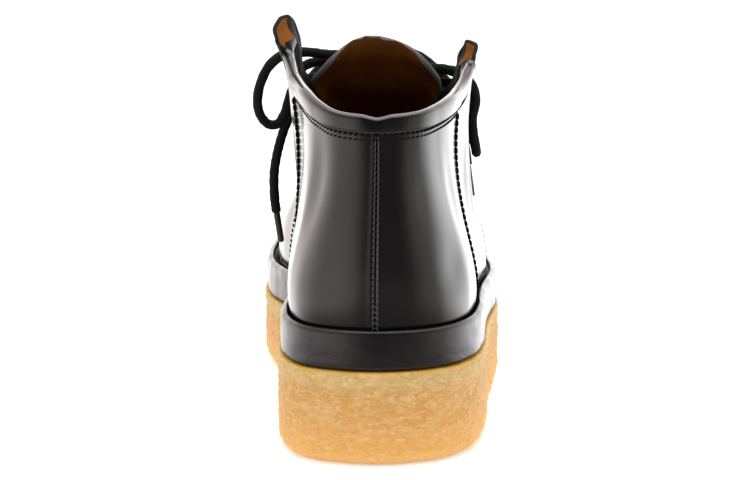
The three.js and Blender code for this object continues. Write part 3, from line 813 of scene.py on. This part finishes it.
# How far the leather stands out from the base surface, for rows of the same places
def upper_relief(place, distance):
    at = fold(place)
    ahead = upper_surface(place[0] + PLACE_STEP, 30)[0]
    behind = upper_surface(place[0] - PLACE_STEP, 30)[0]
    speed = np.linalg.norm(ahead - behind, axis=-1) / (2 * PLACE_STEP)
    from_back = at * speed
    from_side = (at - by_side(place, OUTER_SEAM, INNER_SEAM)) * speed
    from_foot = (at - FACING_FOOT) * speed
    relief = QUARTER_STEP * (1 - smooth(-0.3, 0.3, from_foot))
    relief = relief + BACK_STEP * (1 - smooth(-0.3, 0.3, from_side))
    width = band_width(place)
    banded = 1 - smooth(FACING_TOP - 0.006, FACING_TOP + 0.006, at)
    band = (1 - smooth(width - 0.5, width + 0.1, distance)) * banded
    roll = np.sin(np.pi * np.clip(distance / width, 0, 1)) * band
    relief = relief + BAND_STEP * band + BAND_ROLL * roll
    relief = relief - troughs(place, distance, speed)
    below = distance > width
    relief = relief + ridge(from_back, BACK_GROOVE) * below
    relief = relief + ridge(from_back, BACK_RIDGE) * below
    return relief + ridge(from_side, SIDE_GROOVE) * below * (at < FACING_TOP)


# The leather with its lining, pared thin at the facings' tips
def wall_thickness(place, distance):
    at = fold(place)
    tip = smooth(0.42, 0.445, at) * (1 - smooth(0.5, 0.53, at))
    return WALL - TIP_PARING * tip * (1 - smooth(3, 12, distance))


# How far below the top edge the leather starts to round over
def rounding(places):
    return 1.1 + 0.9 * (1 - smooth(0.4, FACING_TOP, fold(places)))


# The upper's outside, in rings from its foot up over the band's step
def outside_rings(places):
    length = wall_length(places)
    width = band_width(places)
    rows = [length * (1 - s) + (width + 1.2) * s for s in np.linspace(0, 1, 58)]
    rows += [width + d for d in (0.7, 0.35, 0.1, -0.1, -0.3, -0.6)]
    rows += [mix(width - 0.6, rounding(places) + 0.1, s) for s in np.linspace(0.15, 1, 9)]
    distance = np.array(rows)
    place = np.broadcast_to(places, distance.shape)
    point, normal = upper_surface(place, distance)
    rings = point + normal * upper_relief(place, distance)[..., None]
    rings[0, :, 2] = bed_z(rings[0, :, 1]) + GAP
    return rings


def rim_rings(places):
    reach = rounding(places)
    point, normal = upper_surface(places, reach)
    top, _ = upper_surface(places, np.zeros(len(places)))
    up = unit(top - point)
    outside = upper_relief(places[None], reach[None])[0]
    inside = wall_thickness(places, reach)
    middle = point + normal * ((outside - inside) / 2)[:, None]
    half = (outside + inside) / 2
    return np.array([
        middle + normal * (half * math.cos(a))[:, None] + up * (reach * math.sin(a))[:, None]
        for a in np.linspace(0.15, math.pi - 0.15, 13)
    ])


def lining_distances(places):
    start, length = rounding(places), wall_length(places)
    rows = [start + d for d in np.linspace(0.1, 16, 30)]
    return np.array(rows + [mix(18, length, s) for s in np.linspace(0.05, 1, 24)])


# The upper's inside, in rings from the rim down, with a soft roll across the tips' lining
def lining_rings(places, distance):
    place = np.broadcast_to(places, distance.shape)
    point, normal = upper_surface(place, distance)
    at = fold(place)
    reach = smooth(0.4, 0.445, at) * (1 - smooth(0.475, 0.492, at))
    roll = ROLL_HEIGHT * reach * np.exp(-(((distance - 9) / 3.2) ** 2))
    rings = point - normal * (wall_thickness(place, distance) + roll)[..., None]
    rings[-1, :, 2] = bed_z(rings[-1, :, 1]) + GAP
    return rings


# The collar dips where its two halves meet at the back
def dip_collar(rings, places, rim_start, rim_end):
    from_back = fold(places) * 220
    dip = COLLAR_DIP * np.maximum(0, 1 - np.sqrt(from_back**2 + 0.3) / COLLAR_DIP_REACH)
    share = np.zeros(len(rings))
    share[rim_start - 4 : rim_end + 3] = 1
    share[rim_start - 7 : rim_start - 4] = (0.2, 0.5, 0.8)
    rings[..., 2] -= share[:, None] * dip


# Material of each quad: polished leather outside and bound round the tips, cut edges, and lining
def upper_kinds(places, distance, rings, rim_start, rim_end):
    polished, edge, lined = 0, 1, 2
    at = fold(np.broadcast_to(places, distance.shape))
    kinds = np.full((rings, len(places)), lined)
    kinds[: rim_start - 1] = polished
    kinds[rim_start - 1 : rim_end] = np.where(fold(places) < FACING_TOP, polished, edge)
    tan_depth = 5 + 3 * smooth(0.45, 0.47, at) - 12 * smooth(0.474, 0.49, at)
    bound = (at > 0.39) & (at < 0.67) & (distance > tan_depth) & (distance < 46)
    kinds[rim_end:][bound] = polished
    kinds[rim_end:][bound & (at > 0.478) & (distance < 26)] = edge
    return kinds


def upper_leather():
    places = upper_places()
    outside = outside_rings(places)
    rim = rim_rings(places)
    distance = lining_distances(places)
    rings = np.concatenate([outside, rim, lining_rings(places, distance)])
    rim_start = len(outside)
    rim_end = rim_start + len(rim)
    dip_collar(rings, places, rim_start, rim_end)
    kinds = upper_kinds(places, distance, len(rings), rim_start, rim_end)
    materials = [leather, cut_edge, lining]
    return ring_mesh("upper_leather", rings, materials, closed=True, face_material=kinds.ravel())


def select(objects):
    bpy.ops.object.select_all(action="DESELECT")
    for obj in objects:
        obj.select_set(True)
    bpy.context.view_layer.objects.active = objects[0]


def join(objects, name):
    select(objects)
    bpy.ops.object.join()
    objects[0].name = name
    return objects[0]


def hole_tool(place):
    centre, normal = surface_at(place, HOLE_INSET)
    bpy.ops.mesh.primitive_cylinder_add(vertices=32, radius=HOLE_DIAMETER / 2 / 1000, depth=0.012)
    tool = bpy.context.object
    turn = Vector((0, 0, 1)).rotation_difference(Vector(normal))
    tool.matrix_world = Matrix.Translation(Vector(to_metres(centre))) @ turn.to_matrix().to_4x4()
    tool.data.materials.append(cut_edge)
    return tool


def cut_holes(obj):
    cutter = join([hole_tool(place) for hole in HOLES for place in (hole, 2 - hole)], "cutter")
    modifier = obj.modifiers.new("holes", "BOOLEAN")
    modifier.object = cutter
    modifier.operation = "DIFFERENCE"
    modifier.solver = "EXACT"
    modifier.material_mode = "TRANSFER"
    select([obj])
    bpy.ops.object.modifier_apply(modifier="holes")
    bpy.data.objects.remove(cutter)


# A smooth line through points, sampled evenly by number
def smooth_line(points, count):
    points = np.asarray(points, float)
    gaps = np.sqrt(np.linalg.norm(np.diff(points, axis=0), axis=1))
    at = np.concatenate([[0], np.cumsum(gaps)])
    before = np.concatenate([[at[0] - gaps[0]], at[:-1]])
    padded = np.concatenate([[2 * points[0] - points[1]], points, [2 * points[-1] - points[-2]]])
    after = np.concatenate([at[1:], [at[-1] + gaps[-1]]])
    back = (points - padded[:-2]) / (at - before)[:, None]
    ahead = (padded[2:] - points) / (after - at)[:, None]
    slopes = mix(back, ahead, ((at - before) / (after - before))[:, None])
    fine = np.linspace(0, at[-1], count)
    i = np.clip(np.searchsorted(at, fine, side="right") - 1, 0, len(points) - 2)
    span = (at[i + 1] - at[i])[:, None]
    t = ((fine - at[i])[:, None]) / span
    return cubic(points[i], slopes[i], points[i + 1], slopes[i + 1], t, span)


def run_along(line):
    return np.concatenate([[0], np.cumsum(np.linalg.norm(np.diff(line, axis=0), axis=1))])


# Two directions square to a line at each of its points, which turn as little as they can
def line_sides(line):
    tangent = unit(np.gradient(line, axis=0))
    side = np.zeros_like(line)
    guide = np.array([0.3, 0.1, 1.0])
    for i, t in enumerate(tangent):
        guide = guide - t * guide.dot(t)
        guide /= np.linalg.norm(guide)
        side[i] = guide
    return side, np.cross(tangent, side)


# A tube along a line, its radius given all along. The braid is a fine relief of crossing ridges.
def tube(name, line, radius, material, around=20, braid=0.0):
    side, cross = line_sides(line)
    angle = 2 * np.pi * np.arange(around) / around
    radius = np.broadcast_to(np.asarray(radius, float), len(line))
    turn = BRAID_STRANDS * angle[None]
    twist = BRAID_STRANDS * (2 * np.pi * run_along(line) / BRAID_PITCH)[:, None]
    ridges = np.abs(np.sin(turn + twist)) * np.abs(np.sin(turn - twist))
    reach = radius[:, None] * (1 + braid * (ridges - 0.4))
    rings = (
        line[:, None]
        + side[:, None] * (reach * np.cos(angle))[..., None]
        + cross[:, None] * (reach * np.sin(angle))[..., None]
    )
    return ring_mesh(name, rings, [material], capped=True)


def lace_tube(name, points, count):
    line = smooth_line(points, count)
    obj = tube(name, line, LACE_DIAMETER / 2, cotton, braid=BRAID_DEPTH)
    return obj, line


# Where a lace comes up through its hole, lies over the facing and turns over the facing's edge
def lace_on_facing(place):
    lift = QUARTER_STEP + CLEARANCE + LACE_DIAMETER / 2
    centre, normal = surface_at(place, HOLE_INSET)
    _, edge_normal = surface_at(place, 0.6)
    inside = centre - normal * (WALL - 0.6)
    return inside, centre + normal * (lift - 0.4), top_curve(place) + edge_normal * lift


def lace_run(name, outer_hole, inner_hole):
    first, over_first, edge_first = lace_on_facing(outer_hole)
    last, over_last, edge_last = lace_on_facing(2 - inner_hole)
    middle = (edge_first + edge_last) / 2
    arch = LACE_ARCH * np.linalg.norm(edge_first - edge_last)
    middle = middle + np.array([0, 0.8, 0.6]) * arch
    points = [first, over_first, mix(over_first, edge_first, 0.55), edge_first, middle]
    points += [edge_last, mix(over_last, edge_last, 0.55), over_last, last]
    obj, _ = lace_tube(name, points, 90)
    return obj


def lace_crossings():
    last = len(HOLES) - 1
    runs = [lace_run("run", HOLES[last], HOLES[last])]
    for i in range(last):
        runs.append(lace_run("run", HOLES[i], HOLES[i + 1]))
        runs.append(lace_run("run", HOLES[i + 1], HOLES[i]))
    return finish_piece(join(runs, "laced_runs"), "lace", "lace_crossings")


def lace_tip(name, route):
    line = smooth_line(route, 60)
    end = line[-1]
    ahead = unit(end - line[-4])
    shares = np.array([0, 0.02, 0.06, 0.5, 0.93, 0.98, 1.0])
    radii = AGLET_DIAMETER / 2 * np.array([0.8, 1, 1, 0.97, 0.95, 0.8, 0.45])
    points = end + ahead * GAP + ahead * (shares * AGLET_LENGTH)[:, None]
    return tube(name, points, radii, tip_sleeve)


def lace_bow():
    for side, route in (("left", LEFT_LOOP), ("right", RIGHT_LOOP)):
        obj, line = lace_tube("bow_loop_" + side, route, 150)
        finish_piece(obj, "lace", "lace_loop_" + side)
    for side, route in (("left", LEFT_END), ("right", RIGHT_END)):
        obj, line = lace_tube("bow_end_" + side, route, 110)
        finish_piece(obj, "lace", "lace_end_" + side)
        tip = finish_piece(lace_tip("bow_tip_" + side, route), "lace_tip", "lace_tip_" + side)


# The knot: a bundle between the loops, with the lace wrapped once round it
def lace_knot():
    turns = np.linspace(-0.6, 2 * np.pi + 0.6, 60)
    centre = np.array(KNOT)
    wrap = centre + np.stack([
        WRAP_WIDTH * ((turns - turns[0]) / (turns[-1] - turns[0]) - 0.5),
        3.1 * np.cos(turns),
        3.6 * np.sin(turns),
    ], -1)
    parts = [tube("wrap", wrap, WRAP_RADIUS, cotton, braid=BRAID_DEPTH)]
    for shift_y, shift_z in ((-1.7, 1.3), (1.2, -1.2)):
        across = smooth_line([
            centre + np.array([x, shift_y * (1 + 0.12 * abs(x)), shift_z * (1 + 0.08 * abs(x))])
            for x in (-7, -4, 0, 4, 7)
        ], 30)
        parts.append(tube("bundle", across, BUNDLE_RADIUS, cotton, braid=BRAID_DEPTH))
    return finish_piece(join(parts, "bow_knot"), "lace", "lace_knot")


# A point just inside the upper's wall
def inside_wall(place, distance):
    point, normal = surface_at(place, distance)
    return point - normal * (WALL + CLEARANCE)


# Five points across the tongue for each section, from the vamp up to its rounded end
def tongue_sections():
    sections = [
        [inside_wall(at, 8) for at in (0.76, 0.85, 1, 1.15, 1.24)],
        [inside_wall(at, d) for at, d in ((0.71, 8), (0.745, 1), (1, 1), (1.255, 1), (1.29, 8))],
    ]
    for place, tuck, arch in TONGUE_BELOW:
        edges = [inside_wall(at, 1) for at in (place, 2 - place)]
        middle = (edges[0] + edges[1]) / 2
        middle = middle + np.array([0, 0.7, 0.7]) * arch * np.linalg.norm(edges[0] - edges[1])
        sections.append([inside_wall(place, tuck), edges[0], middle, edges[1], inside_wall(2 - place, tuck)])
    for along, up, half, fall_back, lean in TONGUE_ABOVE:
        half = half * BALL_WIDTH
        sections.append([
            (
                lean * BALL_WIDTH + w * half,
                along_of(along) - fall_back * half * 2 * w * w,
                up_of(up) - 0.4 * fall_back * half * 2 * w * w,
            )
            for w in (1, 0.6, 0, -0.6, -1)
        ])
    return np.array(sections)


# Faces round the tongue's rings and over its two ends, with the material of each: face 0, edge 1, lining 2
def tongue_faces(rings, across):
    count = 2 * across
    faces = []
    kinds = []
    for low in range(0, (rings - 1) * count, count):
        high = low + count
        for i in range(count):
            j = (i + 1) % count
            faces.append((low + i, high + i, high + j, low + j))
            kinds.append(0 if i < across - 1 else (2 if across <= i < count - 1 else 1))
    for start, turned in ((0, False), ((rings - 1) * count, True)):
        for i in range(across - 1):
            a, b = start + i, start + i + 1
            c, d = start + count - 2 - i, start + count - 1 - i
            faces.append((a, d, c, b) if turned else (a, b, c, d))
            kinds.append(1)
    return faces, kinds


def tongue_leather():
    across = np.array([smooth_line(section, 61) for section in tongue_sections()])
    face = np.array([smooth_line(across[:, k], 90) for k in range(across.shape[1])]).transpose(1, 0, 2)
    back = face - unit(np.cross(np.gradient(face, axis=1), np.gradient(face, axis=0))) * TONGUE_THICKNESS
    points = np.concatenate([face, back[:, ::-1]], 1).reshape(-1, 3)
    faces, kinds = tongue_faces(*face.shape[:2])
    obj = new_object("tongue_leather", points, faces, [leather, tongue_edge, painted_shade_tongue_lining], kinds)
    return finish_piece(obj, "black_leather", "tongue")


# Stitches: small capsules laid end to end, each following its path
CAPSULE = ((-1, 0.0), (-0.95, 0.5), (-0.75, 0.85), (-0.3, 1), (0.3, 1), (0.75, 0.85), (0.95, 0.5), (1, 0.0))
Stitch = namedtuple("Stitch", "pitch length radius lift slant material")
SIDE_STITCH = Stitch(2.4, 2.6, 0.5, 0.45, 0.5, thread)
BACK_STITCH = Stitch(2.0, 1.6, 0.2, 0.22, 0.2, pale_thread)
CROSS_STITCH = Stitch(1.9, 2.0, 0.2, 0.3, 1.35, pale_thread)
FACING_STITCH = Stitch(2.1, 1.6, 0.25, 0.0, 0.1, thread)
BAND_STITCH = Stitch(2.0, 1.7, 0.36, 0.05, 0.3, thread)
LOWER_BAND_STITCH = BAND_STITCH._replace(lift=0.0)


def capsule_template():
    around = np.arange(6) * np.pi / 3
    rings = [[(x, r * math.cos(a), r * math.sin(a)) for a in around] for x, r in CAPSULE]
    return np.array(rings).reshape(-1, 3), ring_faces(len(rings), len(around), False, False)


def stitches(name, centres, tangents, normals, kind, slant):
    template, template_faces = capsule_template()
    points = []
    faces = []
    for k, (centre, tangent, normal) in enumerate(zip(centres, tangents, normals)):
        ahead = tangent * math.cos(slant) + np.cross(normal, tangent) * math.sin(slant)
        side = np.cross(normal, ahead)
        body = (
            centre
            + template[:, :1] * ahead * kind.length / 2
            + template[:, 1:2] * side * kind.radius
            + template[:, 2:3] * normal * kind.radius
        )
        points.append(body - normal * 0.25 * kind.radius * template[:, :1] ** 2)
        faces += [tuple(v + k * len(template) for v in face) for face in template_faces]
    return finish_piece(new_object(name, np.concatenate(points), faces, [kind.material]), "lace")


# A line over the leather, lifted above its relief, with the base surface's normals
def over_leather(place, distance, lift):
    point, normal = upper_surface(place, distance)
    return point + normal * (upper_relief(place[None], distance[None])[0] + lift)[:, None], normal


def stitch_row(name, place, distance, kind, sign=1):
    distance = np.broadcast_to(np.asarray(distance, float), place.shape)
    line, normal = over_leather(place, distance, kind.lift)
    run = run_along(line)
    at = np.arange(kind.pitch / 2, run[-1], kind.pitch)

    def sampled(values):
        return np.stack([np.interp(at, run, values[:, k]) for k in range(3)], -1)

    normals = unit(sampled(normal))
    tangents = sampled(np.gradient(line, axis=0))
    tangents = unit(tangents - normals * (tangents * normals).sum(1, keepdims=True))
    return stitches(name, sampled(line), tangents, normals, kind, sign * kind.slant)


# A matte black strip laid in a seam's channel: painted shade in the recess, where the polished leather would
# show reflections
def seam_shadow_strip(name, place, distance, width):
    point, normal = over_leather(place, distance, SHADOW_STRIP_LIFT)
    side = np.cross(normal, unit(np.gradient(point, axis=0))) * width / 2
    strip = np.array([point + side * x - normal * 0.25 * x * x for x in (-1, -0.5, 0, 0.5, 1)])
    count = len(place)
    faces = [
        (start + i, start + i + 1, start + count + i + 1, start + count + i)
        for start in range(0, 4 * count, count) for i in range(count - 1)
    ]
    return finish_piece(new_object(name, strip.reshape(-1, 3), faces, [seam_shadow]), "black_leather")


def length_at(place):
    return float(wall_length(np.array([place % 2]))[0])


def side_seam(label, sign):
    seam = OUTER_SEAM if sign > 0 else -INNER_SEAM
    down = np.linspace(BAND_WIDTH + 2.2, length_at(seam) - 2, 200)
    middle = np.full(200, seam - sign * 0.003)
    seam_shadow_strip("side_seam_shadow_" + label, middle, down, 2.4)
    for k, offset in enumerate((-0.0016, 0.0016)):
        stitch_row(f"side_stitches_{label}_{k}", middle + sign * offset, down, SIDE_STITCH, sign)


def back_seam():
    foot = length_at(0.0)
    down = np.linspace(BAND_WIDTH + 2, foot - 1, 200)
    seam_shadow_strip("back_seam_shadow", np.zeros(200), down, 2.6)
    for label, sign in SIDES:
        stitch_row("back_stitches_" + label, np.full(200, sign * 0.0026), down, BACK_STITCH, sign)
    low = np.linspace(foot - 11, foot - 2, 40)
    stitch_row("back_cross_stitches", np.zeros(40), low, CROSS_STITCH)


def facing_seams(label, sign):
    edge = np.linspace(0.53, 0.7, 200) * sign
    for k, inset in enumerate((2.6, 4.1)):
        stitch_row(f"facing_stitches_{label}_{k}", edge, inset, FACING_STITCH)
    foot = np.full(160, sign * (FACING_FOOT - 0.007))
    down = np.linspace(3, length_at(foot[0]) - 3, 160)
    for k, shift in enumerate((0, 0.006)):
        stitch_row(f"vamp_stitches_{label}_{k}", foot - sign * shift, down, FACING_STITCH)


def stitching():
    round_back = np.linspace(-FACING_TOP + 0.01, FACING_TOP - 0.01, 500)
    width = band_width(round_back % 2)
    stitch_row("band_stitches_upper", round_back, width + 0.45, BAND_STITCH)
    stitch_row("band_stitches_lower", round_back, width + 1.9, LOWER_BAND_STITCH)
    back_seam()
    for label, sign in SIDES:
        side_seam(label, sign)
    for label, sign in SIDES:
        facing_seams(label, sign)


# Stage, light and world
def stage():
    mesh = bpy.data.meshes.new("floor")
    mesh.from_pydata([(-6, -6, 0), (6, -6, 0), (6, 6, 0), (-6, 6, 0)], [], [(0, 1, 2, 3)])
    glow = {"Emission_Color": (1, 1, 1, 1), "Emission_Strength": 0.25}
    mesh.materials.append(new_material("floor", (0.95, 0.95, 0.95), 0.9, **glow))
    floor = in_scene("floor", mesh)
    floor.visible_glossy = False


def top_light():
    light = in_scene("top_box", bpy.data.lights.new("top_box", "AREA"))
    light.data.shape = "RECTANGLE"
    light.data.size = 1.0
    light.data.size_y = 1.4
    light.data.energy = 12
    light.location = (0, 0.15, 1.2)
    light.rotation_euler = (Vector((0, 0, 0.07)) - light.location).to_track_quat("-Z", "Y").to_euler()


# Brightness of the studio as the glossy leather sees it, by the compass angle from behind the heel.
# Two tall softboxes stand at the sides, with a dark gap between them behind the camera.
STUDIO = (
    (-180, 2.9), (-150, 2.3), (-128, 2.0), (-104, 2.45), (-78, 1.8), (-52, 1.75), (-33, 1.6), (-19, 0.05),
    (-2, 0.06), (20, 0.26), (42, 0.04), (60, 1.35), (80, 0.85), (100, 3.3), (132, 3.4), (180, 3.2),
)
BRIGHTEST = 3.4
# Where the studio changes with the height of the direction: from, to, and the factor at each
WALL_FOOT = (-0.45, -0.17, 0.2, 1.0)
WALL_TOP = (0.12, 0.6, 1.0, 0.45)
TABLE_NEAR = (-0.75, -0.5, 1.2, 0.0)
TABLE_FAR = (-0.2, -0.05, 0.22, 0.0)
# The dimmer its light, the warmer the studio
WARM_BELOW = (1.0, 3.5, 1.0, 0.0)
WHITE = (1, 1, 1)
WARM = (1, 0.88, 0.85)
PLAIN_STRENGTH = 0.85
EXTRA_FOR_CAMERA = 0.2


# Softboxes round the boot and the pale table, as a glossy surface sees them
def seen_in_gloss(nodes):
    x, y, z = nodes.node("ShaderNodeSeparateXYZ", {0: nodes.coordinates["Generated"]}).outputs
    compass = nodes.calc("ARCTAN2", x, nodes.calc("MULTIPLY", y, -1.0))
    turn = nodes.calc("MULTIPLY_ADD", compass, 0.5 / math.pi, 0.5)
    wall = nodes.ramp(turn, [(angle / 360 + 0.5, value / BRIGHTEST) for angle, value in STUDIO], "B_SPLINE")
    for factor in (BRIGHTEST, nodes.fade(z, *WALL_FOOT), nodes.fade(z, *WALL_TOP)):
        wall = nodes.calc("MULTIPLY", wall, factor)
    table_top = nodes.calc("MAXIMUM", nodes.fade(z, *TABLE_NEAR), nodes.fade(z, *TABLE_FAR))
    return nodes.calc("ADD", wall, table_top)


def studio_world():
    world = bpy.data.worlds.new("studio")
    bpy.context.scene.world = world
    world.use_nodes = True
    nodes = Nodes(world.node_tree, "Background")
    path = nodes.node("ShaderNodeLightPath").outputs
    for_camera = nodes.calc("MULTIPLY", path["Is Camera Ray"], EXTRA_FOR_CAMERA)
    plain = nodes.calc("ADD", for_camera, PLAIN_STRENGTH)
    seen = seen_in_gloss(nodes)
    warmth = nodes.calc("MULTIPLY", path["Is Glossy Ray"], nodes.fade(seen, *WARM_BELOW))
    nodes.set("Color", nodes.mix(warmth, WHITE, WARM))
    nodes.set("Strength", nodes.mix_numbers(path["Is Glossy Ray"], plain, seen))
    bpy.context.scene.view_settings.view_transform = "Standard"


lace_bow()
lace_knot()
lace_crossings()
crepe_sole()
wrapped_midsole()
insole_board()
upper = upper_leather()
cut_holes(upper)
finish_piece(upper, "black_leather", "upper")
tongue_leather()
stitching()
stage()
top_light()
studio_world()


# Defines how a box's corners become plain numbers, and writes nothing
def write_sizes():
    def plain(box):
        return [[float(v) for v in corner] for corner in box]


write_sizes()
